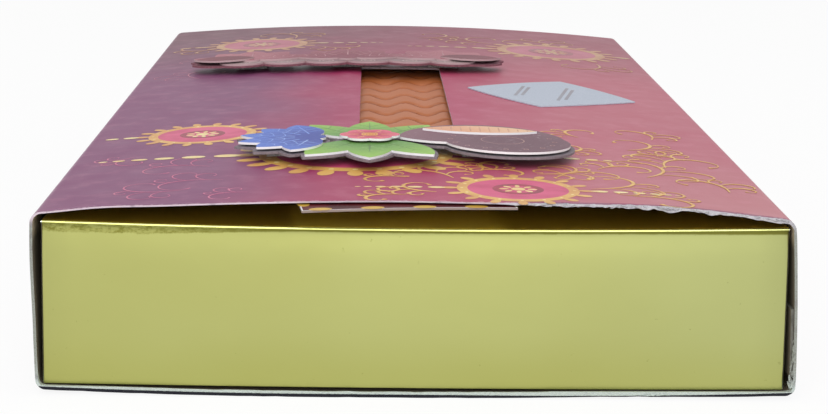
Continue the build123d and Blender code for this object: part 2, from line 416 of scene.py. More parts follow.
def added(name, data=None):
    """New piece with its data, or with an empty mesh to be filled in edit mode."""
    piece = bpy.data.objects.new(name, data or bpy.data.meshes.new(name))
    bpy.context.scene.collection.objects.link(piece)
    return piece


def modify(piece, kind, **settings):
    """Adds a modifier to a piece and applies it."""
    only(piece)
    modifier = piece.modifiers.new(kind.title(), kind)
    for name, value in settings.items():
        setattr(modifier, name, value)
    bpy.ops.object.modifier_apply(modifier=modifier.name)


def thicken(piece, thickness):
    """Gives a flat piece its thickness, upwards."""
    modify(piece, "SOLIDIFY", thickness=thickness, offset=1)


def shape(piece, move):
    """Moves each vertex of a piece to where a function puts it."""
    for vertex in piece.data.vertices:
        vertex.co = move(vertex.co)
    piece.data.update()


def soften(piece, degrees):
    """Shades a piece smooth except across sharp edges."""
    only(piece)
    bpy.ops.object.shade_smooth_by_angle(angle=math.radians(degrees))


def outwards(piece):
    """Turns every face of a closed piece outwards."""
    with editing(piece):
        bpy.ops.mesh.select_all(action="SELECT")
        bpy.ops.mesh.normals_make_consistent(inside=False)


def finish_with(piece, *materials):
    """Gives a piece its materials in order."""
    piece.data.materials.clear()
    for material in materials:
        piece.data.materials.append(material)


def paint_node(name, material):
    """Gives a CAD node a finish through its material slots."""
    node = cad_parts[name]
    for slot in node.material_slots:
        slot.material = material
    if not node.material_slots:
        node.data.materials.append(material)


def attach(piece, body, slot, *nodes, material=None):
    """Makes a piece ride on a body, take the material given, if any, and stand for CAD nodes. The slot is not
    used.
    """
    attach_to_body(piece, body)
    if nodes:
        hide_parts(*nodes)
    if material:
        finish_with(piece, material)


def lay(piece, lift):
    """Bends a flat piece to the top panel, a lift above it."""
    shape(piece, lambda co: (co.x, co.y, panel(co.x, co.y) + lift + co.z))


def ribbons(name, lines, width, material, lift, slot="printed_board"):
    """Lays lines on the top panel as flat ribbons. A point is its place and its share of the width."""
    data = bpy.data.curves.new(name, "CURVE")
    data.dimensions = "3D"
    data.bevel_depth = width / 2
    data.bevel_resolution = 1
    data.use_fill_caps = True
    for points in lines:
        spline = data.splines.new("POLY")
        spline.points.add(len(points) - 1)
        for point, (x, y, share) in zip(spline.points, points):
            point.co = (x, y, 0, 1)
            point.radius = share
    piece = only(added(name, data))
    bpy.ops.object.convert(target="MESH")
    shape(piece, lambda co: (co.x, co.y, co.z * RIBBON_FLATNESS))
    lay(piece, lift)
    attach(piece, "sleeve", slot, material=material)


def veins(stalk, turn, reach, width, start):
    """A midrib and three pairs of side veins of a leaf that points from its stalk at an angle."""

    def spot(along, aside, share):
        foot = around(stalk[0], stalk[1], along, turn)
        return (*around(*foot, aside, turn + math.tau / 4), share)

    lines = [[spot(reach * (start + (0.92 - start) * k / 10), 0, 1.2 - 0.09 * k) for k in range(11)]]
    for root in (0.38, 0.54, 0.7):
        half = width * 2 * (root + 0.1) * (0.9 - root)
        for side in (-half, half):
            steps = [(k / 5, 0.8 - 0.1 * k) for k in range(6)]
            lines.append([spot(reach * (root + 0.13 * go), side * go**0.8, share) for go, share in steps])
    return lines


def fan(stalk, aim, degrees, count, reach, width, start=0.25):
    """Veins of leaves that spread from one stalk about an aim."""
    lines = []
    for k in range(count):
        turn = aim + math.radians(degrees) * (k / (count - 1) - 0.5)
        lines += veins(stalk, turn, reach, width, start)
    return lines


def ring(x, y, radius, share=1.0):
    """A closed round line."""
    return [(*around(x, y, radius, math.tau * k / 24), share) for k in range(25)]


def line_height(layers):
    """How high above the panel lines are laid on a topper, after its foam and a number of layers."""
    sizes = bpy.context.scene.topper_sizes
    return sizes.foam + layers * sizes.layer + CLOSE


# helpers for materials


def maths(operation, reflected=False):
    """Makes a method of Value that adds a Math node."""

    def method(self, other=0.0):
        sides = {0: other, 1: self} if reflected else {0: self, 1: other}
        return self.finish.value("ShaderNodeMath", {"operation": operation}, sides)

    return method


class Value:
    """A varying number, colour or place of a material. Arithmetic on it adds Math nodes."""

    def __init__(self, finish, socket):
        self.finish = finish
        self.socket = socket

    __add__ = __radd__ = maths("ADD")
    __sub__ = maths("SUBTRACT")
    __rsub__ = maths("SUBTRACT", reflected=True)
    __mul__ = __rmul__ = maths("MULTIPLY")
    __truediv__ = maths("DIVIDE")
    __rtruediv__ = maths("DIVIDE", reflected=True)
    __pow__ = maths("POWER")
    __rpow__ = maths("POWER", reflected=True)
    __mod__ = maths("FLOORED_MODULO")
    __rmod__ = maths("FLOORED_MODULO", reflected=True)
    __abs__ = maths("ABSOLUTE")
    at_most = maths("MINIMUM")
    at_least = maths("MAXIMUM")
    cosine = maths("COSINE")

    def rise(self, low, high):
        """Rises smoothly from 0 to 1 as the value goes from low to high."""
        values = {"Value": self, "From Min": low, "From Max": high}
        return self.finish.value("ShaderNodeMapRange", {"interpolation_type": "SMOOTHSTEP"}, values)


class Finish:
    """A material or world under construction, with its base colour so far. Places are in millimetres."""

    def __init__(self, owner):
        owner.use_nodes = True
        self.owner = owner
        self.tree = owner.node_tree
        self.tree.nodes.clear()
        self.base = None

    def node(self, kind, settings=None, values=None, stops=()):
        """Adds a node with its settings, ramp stops and the values or links of its sockets."""
        made = self.tree.nodes.new(kind)
        for name, value in (settings or {}).items():
            setattr(made, name, value)
        for index, (place, shade) in enumerate(stops):
            ramp = made.color_ramp.elements
            stop = ramp[index] if index < 2 else ramp.new(place)
            stop.position = place
            stop.color = (*shade, 1)
        for key, value in (values or {}).items():
            socket = made.inputs[key]
            if isinstance(value, Value):
                self.tree.links.new(value.socket, socket)
            elif socket.type == "RGBA" and len(value) == 3:
                socket.default_value = (*value, 1)
            else:
                socket.default_value = value
        return made

    def value(self, kind, settings=None, values=None, stops=(), output=0):
        """One output of a new node."""
        return Value(self, self.node(kind, settings, values, stops).outputs[output])

    def place(self):
        """Object coordinates in millimetres."""
        spot = self.value("ShaderNodeTexCoord", output="Object")
        return self.value("ShaderNodeVectorMath", {"operation": "SCALE"}, {0: spot, "Scale": 1 / MM})

    def axes(self, spot):
        """The three numbers of a place."""
        parts = self.node("ShaderNodeSeparateXYZ", values={0: spot})
        return [Value(self, output) for output in parts.outputs]

    def cloud(self, spot, size, detail=3.0, rough=0.5, stretch=None):
        """Noise from 0 to 1 with features of about a size in millimetres, which may be stretched."""
        if stretch:
            spot = self.value("ShaderNodeVectorMath", {"operation": "MULTIPLY"}, {0: spot, 1: stretch})
        values = {"Vector": spot, "Scale": 1 / size, "Detail": detail, "Roughness": rough}
        return self.value("ShaderNodeTexNoise", values=values)

    def mix(self, share, first, second):
        """Mixes two colours."""
        return self.value("ShaderNodeMix", {"data_type": "RGBA"}, {0: share, 6: first, 7: second}, output=2)

    def coat(self, share, shade):
        """Lays a share of a colour over the base colour."""
        self.base = self.mix(share, self.base, shade)

    def facing(self):
        """How far a surface faces up or down, from 0 at an upright edge to 1."""
        return abs(self.axes(self.value("ShaderNodeNewGeometry", output="Normal"))[2])

    def surface(self, rough, height, depth, strength, specular=0.5, metallic=0.0):
        """Ends the material in a Principled shader. A height of 1 is a bump's depth in millimetres."""
        bump = {"Height": height, "Strength": strength, "Distance": depth * MM}
        values = {
            "Base Color": self.base, "Metallic": metallic, "Roughness": rough, "Specular IOR Level": specular,
            "Normal": self.value("ShaderNodeBump", values=bump),
        }
        shader = self.value("ShaderNodeBsdfPrincipled", values=values)
        self.node("ShaderNodeOutputMaterial", values={0: shader})
        return self.owner


def begun(name):
    """A new material and its place."""
    finish = Finish(bpy.data.materials.new(name))
    return finish, finish.place()


def sleeve_print(colours):
    """Laminated print: purple to pink across the box, worn pale along the folds."""
    finish, spot = begun("sleeve_print")
    x, y, z = finish.axes(spot)
    blotch = finish.cloud(spot, 60, 2.0) - 0.5
    across = (x + blotch * 34).rise(-72.0, 74.0)
    stops = [(0.0, colours.left), (1.0, colours.right), (0.08, colours.left), (0.3, colours.middle)]
    stops += [(0.62, linear(164, 54, 90)), (0.9, colours.right)]
    finish.base = finish.value("ShaderNodeValToRGB", values={0: across}, stops=stops)
    finish.coat((y + blotch * 60).rise(0.0, 150.0) * (0.92 - across * 0.42), colours.far)
    finish.coat(y.rise(-60.0, -150.0) * x.rise(10.0, 76.0) * 0.6, linear(184, 124, 128))
    mottle = finish.cloud(spot, 5.5, 4.0, 0.6)
    finish.coat(mottle.rise(0.45, 0.75) * 0.1, linear(226, 160, 178))
    finish.coat(z.rise(8.0, 1.2), colours.base)
    fold = abs(x).rise(74.4, 75.9) * z.rise(34.2, 36.6)
    scuff = finish.cloud(spot, 1.6, 4.0, 0.7, (1, 0.25, 1)).rise(0.42, 0.66)
    finish.coat(fold * (scuff * 0.55 + 0.3), linear(206, 186, 194))
    torn = x.rise(16.0, 26.0) * z.rise(34.0, 36.0)
    lip = y.rise(mouth + 1.6, mouth + 0.2) * scuff.rise(0.2, 0.7)
    finish.coat(lip * (1 - torn) * 0.36, linear(214, 180, 194))
    # dark purple band just behind the torn edge on the right: the print's dark torn edge, with painted shadow
    # along it
    torn_ink_and_shadow = y.rise(mouth + 2.4, mouth + 1.2) * torn
    finish.coat(torn_ink_and_shadow * 0.6, linear(96, 56, 92))
    grain = finish.cloud(spot, 0.35)
    rough = finish.cloud(spot, 9.0) * 0.14 + 0.42
    return finish.surface(rough, grain + mottle * 2.0, depth=0.02, strength=0.5, specular=0.28)


def board_inside(colours):
    """Unprinted grey side of the board, with fibres, and painted shade inside the mouth."""
    finish, spot = begun("board_inside")
    y, z = finish.axes(spot)[1:]
    fibre = finish.cloud(spot, 0.9, 5.0, 0.7, (1, 0.18, 1))
    fleck = finish.cloud(spot, 0.7, 2.0).rise(0.62, 0.72)
    finish.base = finish.mix(fibre * 0.5, colours.board, linear(132, 116, 94))
    finish.coat(fleck * 0.35, linear(84, 78, 74))
    # painted shade: below the top panel the inside darkens towards the mouth, darkest in its first 8 mm and
    # fading out 45 mm in
    painted_mouth_shade = z.rise(34.0, 31.0) * y.rise(mouth + 45.0, mouth + 8.0)
    finish.coat(painted_mouth_shade * 0.85, linear(62, 54, 40))
    finish.coat(y.rise(mouth + 1.5, mouth + 1.1) * z.rise(5.0, 3.0), colours.core)
    return finish.surface(0.9, fibre, depth=0.06, strength=0.6)


def board_core(colours):
    """Cut or torn edge of the board: pale and fibrous."""
    finish, spot = begun("board_core")
    x, z = finish.axes(spot)[::2]
    fibre = finish.cloud(spot, 0.5, 6.0, 0.72, (1, 1, 2.4))
    finish.base = finish.mix(fibre.rise(0.3, 0.62), linear(128, 126, 122), colours.core)
    top = z.rise(34.0, 36.5)
    finish.coat(x.rise(22.0, 12.0) * top * 0.55, linear(216, 176, 192))
    finish.coat(top * 0.45, linear(208, 198, 212))
    stain = finish.cloud(spot, 2.6).rise(0.58, 0.7)
    finish.coat(stain * 0.4, linear(102, 84, 108))
    upright = z.rise(4.0, 8.0) * z.rise(37.0, 33.0) * abs(x).rise(72.0, 75.0)
    finish.coat(upright * 0.38, linear(104, 102, 86))
    finish.coat(z.rise(4.0, 2.5) * 0.6, linear(196, 208, 204))
    # near-black band along the foot of the cut edge: the base's dark print, deepened with painted contact
    # shadow
    base_flat, twice_base_radius = 20.0, 2852.0
    out = (abs(x) - base_flat).at_least(0.0)
    above_base = z - (out**2.0) / twice_base_radius + (fibre - 0.5) * 0.2
    finish.coat(above_base.rise(0.76, 0.64), linear(8, 8, 22))
    return finish.surface(0.95, fibre, depth=0.25, strength=1.0)


def ink(name, shade, second, rough=0.34):
    """Printed ink that shifts between two shades and fades towards the far end."""
    finish, spot = begun(name)
    y = finish.axes(spot)[1]
    shift = finish.cloud(spot, 7.0)
    speck = finish.cloud(spot, 0.5).rise(0.56, 0.7)
    finish.base = finish.mix(shift.rise(0.35, 0.65), shade, second)
    finish.coat(speck * 0.22, linear(170, 96, 112))
    finish.coat(y.rise(-60.0, 90.0) * 0.55, linear(150, 104, 108))
    return finish.surface(shift * 0.14 + rough, speck, depth=0.01, strength=0.4, specular=0.25)


def gold_foil(colours):
    """Metallised gold board with faint dents, and painted shade along its crease."""
    finish, spot = begun("gold_foil")
    x, y, z = finish.axes(spot)
    top = tray_high.z / MM
    half = 76.0
    shift = finish.cloud(spot, 45, 2.0)
    finish.base = finish.mix(shift.rise(0.3, 0.7) * 0.3, colours.gold, linear(180, 184, 122))
    finish.coat(x.rise(10.0, half) * 0.5, linear(176, 182, 126))
    # painted shade: the gold darkens towards the foot, standing in for the reflection of the floor's shadow
    finish.coat(z.rise(15.0, 2.0) * 0.45, linear(166, 166, 86))
    # faces that look up or down take a deeper gold than upright faces: one foil in two shades, a painted
    # difference in reflection
    finish.coat(finish.facing().rise(0.8, 0.97), colours.ledge)
    # painted shade: a ragged, mottled dark olive band along the crease under the roll, standing in for the
    # crease's dark reflection; the worn mask below carries it
    wander = finish.cloud(spot, 2.2, 5.0, 0.7, (1, 1, 0.02))
    under = z + (1.0 - ((x / half) ** 2.0)) * (bpy.context.scene.tray_sizes.top_dip / MM)
    left = x.rise(-20.0, -62.0)
    reach = left * 0.75 + x.rise(40.0, 74.0) * 0.35 + wander * (left * 0.9 + 0.3) + 0.55
    band = (under + reach).rise(top - 0.5, top - 0.1) * under.rise(top - 0.35, top - 0.6)
    mottle = finish.cloud(spot, 1.6, 5.0, 0.75, (1, 1, 2)).rise(0.36, 0.62)
    outer = abs(x).rise(73.6, 74.0) + abs(y).rise(150.2, 150.6)
    worn = band * (1 - mottle * left * 0.6) * 0.92 * outer.at_most(1.0)
    finish.coat(worn, colours.crease)
    speck = finish.cloud(spot, 1.4, 3.0, 0.6).rise(0.7, 0.76)
    finish.coat(speck * 0.35, colours.crease)
    raw = (abs(x) + z * 0.0085).rise(74.25, 74.4) * abs(y).rise(150.0, 150.6)
    finish.coat(raw * 0.8, linear(214, 222, 220))
    dents = finish.cloud(spot, 16) * 4.0 + speck * -0.4 + finish.cloud(spot, 0.3, 2.0) * 0.06
    rough = shift * 0.08 + worn * 0.2 + 0.26
    return finish.surface(rough, dents, depth=0.05, strength=0.4, metallic=1.0)


def copper_sheet(colours, sizes):
    """Copper-coloured embossed paper, with painted shade in its wavy grooves."""
    finish, spot = begun("copper_sheet")
    x, y = finish.axes(spot)[:2]
    pitch = sizes.wave_pitch / MM
    wave = (x * (math.tau * MM / sizes.wave_length)).cosine() * (sizes.wave_height / MM / 2)
    off = abs((y - wave + pitch * 8.5) % pitch - pitch / 2)
    shift = finish.cloud(spot, 20)
    finish.base = finish.mix(shift.rise(0.35, 0.65) * 0.5, colours.copper, linear(166, 96, 53))
    # painted shade: darker colour in the embossed grooves
    finish.coat(off.rise(sizes.groove_width / MM * 0.55, 0.1) * 0.8, colours.groove)
    crepe = finish.cloud(spot, 0.8, 4.0, 0.6, (1, 2.5, 1))
    return finish.surface(shift * 0.12 + 0.44, crepe, depth=0.05, strength=0.5, specular=0.25, metallic=0.25)


def die_cut(name, shade, deep, edge, centre, reach):
    """Printed card layer: deep near its stalk, lighter outwards, pale along its cut edge."""
    finish, spot = begun(name)
    x, y = finish.axes(spot)[:2]
    far = (((x - centre[0] / MM) ** 2.0) + ((y - centre[1] / MM) ** 2.0)) ** 0.5
    grain = finish.cloud(spot, 1.3, 4.0, 0.6)
    finish.base = finish.mix((far + (grain - 0.5) * 5.0).rise(reach * 0.15, reach), deep, shade)
    finish.coat(grain.rise(0.55, 0.75) * 0.18, edge)
    finish.coat(finish.facing().rise(0.75, 0.4), edge)
    fibre = finish.cloud(spot, 0.4)
    return finish.surface(grain * 0.12 + 0.42, fibre, depth=0.03, strength=0.4, specular=0.28)


def plain_card(name, shade, deep, fibre_size=0.8, cut_edge=None):
    """Unprinted card with fine fibres, and another shade along its cut edge where one is given."""
    finish, spot = begun(name)
    fibre = finish.cloud(spot, fibre_size, 5.0, 0.7, (1, 1, 0.4))
    fleck = finish.cloud(spot, 0.6, 2.0).rise(0.62, 0.7)
    finish.base = finish.mix(fibre.rise(0.3, 0.7), deep, shade)
    finish.coat(fleck * 0.3, deep)
    if cut_edge:
        finish.coat(finish.facing().rise(0.75, 0.4), cut_edge)
    return finish.surface(0.82, fibre, depth=0.05, strength=0.6)


def foam_block(shade):
    """White foam with open pores."""
    finish, spot = begun("foam_block")
    cells = finish.value("ShaderNodeTexVoronoi", values={"Vector": spot, "Scale": 2.6}, output="Distance")
    pore = cells.rise(0.1, 0.6)
    finish.base = finish.mix(pore, shade, linear(176, 172, 168))
    return finish.surface(0.95, 1 - pore, depth=0.15, strength=0.8)


# the pieces


class BOX_OT_stage(bpy.types.Operator):
    """Set the pale floor, the soft lights, the white surroundings and the camera"""

    bl_idname = "sweetbox.stage"
    bl_label = "Stage"

    white = (1.0, 1.0, 1.0)

    def execute(self, context):
        scene = context.scene
        scene.view_settings.view_transform = "Standard"
        bpy.ops.object.select_all(action="DESELECT")
        bpy.ops.mesh.primitive_plane_add(size=8, location=(0, 2, -0.02 * MM))
        floor = applied("floor")
        finish_with(floor, self.floor_paint())
        self.surroundings(scene)
        self.lamp("key_light", (-0.2, -1.25, 0.78), (0, 0, 0), 1.1, 12.5)
        self.lamp("top_light", (0.1, 0.1, 1.3), (0, 0, 0), 1.6, 4.0)
        self.lamp("front_light", (0.1, -1.6, 0.42), (0, 0, 0.02), 0.7, 5.0)
        self.camera(scene)
        return {"FINISHED"}

    def seen(self, paint):
        """1 for the rays that see the background itself or through gloss and glass."""
        path = paint.node("ShaderNodeLightPath").outputs
        kinds = ("Is Camera Ray", "Is Glossy Ray", "Is Transmission Ray")
        camera, glossy, clear = (Value(paint, path[kind]) for kind in kinds)
        return (camera + glossy + clear).at_most(1.0)

    def floor_paint(self):
        """Pale floor that keeps the object's shadow."""
        paint, spot = begun("floor_paint")
        base = paint.mix(paint.cloud(spot, 6.0) * 0.1, linear(244, 244, 244), linear(238, 238, 240))
        matt = paint.value("ShaderNodeBsdfDiffuse", values={"Color": base})
        glow = paint.value("ShaderNodeEmission", values={"Color": self.white, "Strength": 1.0})
        both = paint.value("ShaderNodeMixShader", values={0: self.seen(paint) * 0.9, 1: matt, 2: glow})
        paint.node("ShaderNodeOutputMaterial", values={0: both})
        return paint.owner

    def surroundings(self, scene):
        """White to the camera and in gloss, softer as a light."""
        paint = Finish(bpy.data.worlds.new("white_room"))
        scene.world = paint.owner
        strength = self.seen(paint) * 0.5 + 0.5
        sky = paint.value("ShaderNodeBackground", values={"Color": self.white, "Strength": strength})
        paint.node("ShaderNodeOutputWorld", values={0: sky})

    def lamp(self, name, place, target, size, power):
        """Square soft light that points at a target."""
        bpy.ops.object.select_all(action="DESELECT")
        bpy.ops.object.light_add(type="AREA", location=place)
        light = bpy.context.object
        light.name = name
        light.data.size = size
        light.data.energy = power
        light.rotation_mode = "QUATERNION"
        light.rotation_quaternion = (Vector(place) - Vector(target)).to_track_quat("Z", "Y")

    def camera(self, scene):
        """Camera where the photograph was taken from, close to the front and slightly rolled."""
        pitch, yaw, roll = (math.radians(angle) for angle in (11.522, 1.390, 0.922))
        ahead = Vector((math.sin(yaw), math.cos(yaw), 0))
        forward = ahead * math.cos(pitch) - Vector((0, 0, math.sin(pitch)))
        right = Vector((ahead.y, -ahead.x, 0))
        up = right.cross(forward)
        side = right * math.cos(roll) + up * math.sin(roll)
        head = up * math.cos(roll) - right * math.sin(roll)
        bpy.ops.object.select_all(action="DESELECT")
        bpy.ops.object.camera_add()
        scene.camera = bpy.context.object
        scene.camera.data.lens = 87.957
        scene.camera.data.sensor_width = 36
        stand = Matrix.Translation(Vector((-10.17, -542.46, 118.63)) * MM)
        scene.camera.matrix_world = stand @ Matrix((side, head, -forward)).transposed().to_4x4()


class BOX_OT_sleeve(bpy.types.Operator):
    """Fold the printed board into the sleeve, cut its window and fray its front edge"""

    bl_idname = "sweetbox.sleeve"
    bl_label = "Sleeve"

    def execute(self, context):
        sizes = context.scene.sleeve_sizes
        colours = context.scene.print_colours
        core = board_core(colours)
        low = Vector((-half_width(), sleeve_low.y, sizes.base_sag))
        high = Vector((half_width(), sleeve_high.y, corner_height()))
        shell = block("sleeve_board", low, high)
        with editing(shell):
            pick("faces", lambda face: abs(face.normal.y) > 0.9)
            bpy.ops.mesh.delete(type="FACE")
        with editing(shell, "EDGE"):
            bevel(lambda edge: runs(edge, ALONG), sizes.fold_radius, 7)
            slice_at([low.y + row * MM for row in (2.6, 5, 9, 15, 24)], ALONG)
            slice_at([high.y - row * MM for row in (1.5, 4, 10)], ALONG)
            self.divide((low.z + high.z) / 2)
        shape(shell, self.fold)
        shell.vertex_groups.new(name="inner")
        finish_with(shell, sleeve_print(colours), board_inside(colours), core)
        modify(
            shell, "SOLIDIFY", thickness=sizes.board, offset=-1, use_even_offset=True,
            material_offset=INSIDE, material_offset_rim=CORE, shell_vertex_group="inner",
        )
        self.fray(shell)
        self.window(shell)
        self.flap(shell, sizes)
        soften(shell, 40)
        attach(shell, "sleeve", "printed_board", "sleeve")
        self.fibres(core)
        return {"FINISHED"}

    def divide(self, halfway):
        """Divides the flat panels finely enough to bend and fray."""

        def long(edge, axis, least):
            return runs(edge, axis) and edge.calc_length() > least * MM

        for cuts in (16, 17):
            cut(lambda edge: long(edge, ACROSS, 1.2) and middle(edge).z > halfway, cuts)
        cut(lambda edge: long(edge, ACROSS, 30) and middle(edge).z < halfway, 60)
        cut(lambda edge: long(edge, UP, 5), 18)
        cut(lambda edge: long(edge, ALONG, 30), 26)

    def fold(self, co):
        """Bends the box section: arched top, sagging base, and walls that lean a little."""
        sizes = sleeve_sizes()
        x, y, z = co
        share = (z - sizes.base_sag) / (corner_height() - sizes.base_sag)
        worn = math.exp(-(y - near_end) / (150 * MM))
        if share > 0.5:
            z += arch(x) + slack(x, y) * smooth(share, 0.5, 0.9)
        else:
            run = half_width() - sizes.base_flat / 2
            radius = (run**2 + sizes.base_sag**2) / (2 * sizes.base_sag)
            out = max(0.0, abs(x) - sizes.base_flat / 2)
            z += radius - math.sqrt(radius**2 - out**2) - sizes.base_sag
            z += 0.45 * MM * hump(x, 40 * MM, 22 * MM) * worn
        bulge = math.copysign(sizes.wall_bulge, x) * 4 * share * (1 - share)
        lean = 0.75 - 1.6 * share if x > 0 else 0.3 - 0.45 * smooth(share, 0.35, 0.85)
        return (x + (x / half_width()) ** 4 * (bulge + lean * MM * worn), y, z)

    def fray(self, shell):
        """Tears the front edge back on the right and crimps it on the left."""
        inner = shell.vertex_groups["inner"].index
        for vertex in shell.data.vertices:
            x, y, z = vertex.co
            if abs(y - near_end) > CLOSE:
                continue
            within = any(group.group == inner and group.weight > 0.5 for group in vertex.groups)
            on_top = z > PANEL_FOOT
            torn = smooth(x, 14 * MM, 26 * MM) if on_top else 0.0
            torn = max(torn, 0.45 * smooth(x, 60 * MM, 76 * MM) * smooth(z, 16 * MM, 6 * MM))
            lump = sum(size * hump(x, place * MM, reach * MM) for place, reach, size in TORN_LUMPS)
            coarse = ripple(x, z, 7 * MM, 1.7)
            fine = ripple(x, z, 1.3 * MM, 5.1)
            if within:
                y -= (0.12 + 0.25 * abs(fine)) * MM * torn
                if on_top:
                    z -= max(0.0, 0.75 * lump + 0.15 * coarse + 0.14 * fine) * MM * torn
                    z += 0.3 * MM * (1 - 0.3 * torn)
                elif z < 3 * MM:
                    swell = sleeve_sizes().base_swell * (1 - 0.6 * smooth(abs(x), 60 * MM, 75 * MM))
                    z += min(swell * (1 + 0.12 * fine), max(0.0, tray_foot(x) - 0.1 * MM - z))
            else:
                y += max(0.0, 0.2 + 0.9 * lump + 0.4 * coarse + 0.35 * fine) * MM * torn + 0.06 * fine * MM
                z += 0.05 * abs(fine) * MM
            vertex.co = (x, max(y, near_end - 0.5 * MM), z)
        shell.data.update()

    def window(self, shell):
        """Cuts the viewing window through the top panel."""
        left, right, near, far = window_edges()
        below, above = 30 * MM, 50 * MM
        punch = block("window_punch", (left, near, below), (right, far, above))
        with editing(punch, "EDGE"):
            bevel(lambda edge: runs(edge, UP), sleeve_sizes().window_corner, 6)
        finish_with(punch, *shell.data.materials)
        for face in punch.data.polygons:
            face.material_index = CORE
        modify(shell, "BOOLEAN", operation="DIFFERENCE", object=punch, solver="EXACT")
        bpy.data.objects.remove(punch)

    def flap(self, shell, sizes):
        """Adds the glue flap on the inside of the right wall."""
        glue = 0.02 * MM
        inside = half_width() - sizes.board - glue
        low = (inside - sizes.board, near_end + 0.5 * MM, sizes.flap_foot)
        high = (inside, sleeve_high.y - 0.3 * MM, sizes.flap_foot + sizes.flap_height)
        flap = block("glue_flap", low, high)
        with editing(flap, "EDGE"):
            cut(lambda edge: runs(edge, ALONG), 60)
            cut(lambda edge: runs(edge, UP), 9)
        shape(flap, self.fold)
        edge = plain_card("flap_edge", linear(104, 102, 94), linear(60, 58, 50))
        finish_with(flap, *shell.data.materials, edge)
        for face in flap.data.polygons:
            face.material_index = FLAP_EDGE if abs(face.normal.x) < 0.5 else INSIDE
        only(shell)
        flap.select_set(True)
        bpy.ops.object.join()

    def fibres(self, core):
        """Torn flakes and fibres of board along the worn front edge."""
        source = random.Random(7)
        tufts = added("torn_fibres")
        places = []
        for k in range(90):
            x = source.uniform(19, 74.6) * MM
            y = near_end + source.uniform(-0.1, 0.6) * MM
            places.append((x, y, panel(x, near_end) - source.uniform(0.12, 0.46) * MM, (1.8, 1.1, 0.3)))
        for k in range(30):
            z = source.uniform(2.6, 12.5)
            spread = max(0.15, 1.25 - z / 9)
            x = 76.2 - 0.02 * z - source.uniform(0.0, spread)
            places.append((x * MM, near_end + source.uniform(-0.1, 0.6) * MM, z * MM, (0.5, 0.8, 2.0)))
        for k in range(12):
            x = source.uniform(46.5, 51.5) * MM
            y = near_end + source.uniform(-0.2, 0.8) * MM
            places.append((x, y, source.uniform(0.95, 1.3) * MM, (2.0, 1.2, 0.5)))
        with editing(tufts):
            for *spot, stretch in places:
                size = source.uniform(0.2, 0.42) * MM
                grown = [share * source.uniform(0.7, 1.4) for share in stretch]
                bpy.ops.mesh.select_all(action="DESELECT")
                bpy.ops.mesh.primitive_ico_sphere_add(subdivisions=2, radius=size, location=spot)
                bpy.ops.transform.resize(value=grown, center_override=spot)
                bpy.ops.transform.vertex_random(offset=0.3 * size, seed=source.randrange(1000))
                turn = source.uniform(-0.4, 0.4)
                bpy.ops.transform.rotate(value=turn, orient_axis="Y", center_override=spot)
        attach(tufts, "sleeve", "printed_board", material=core)


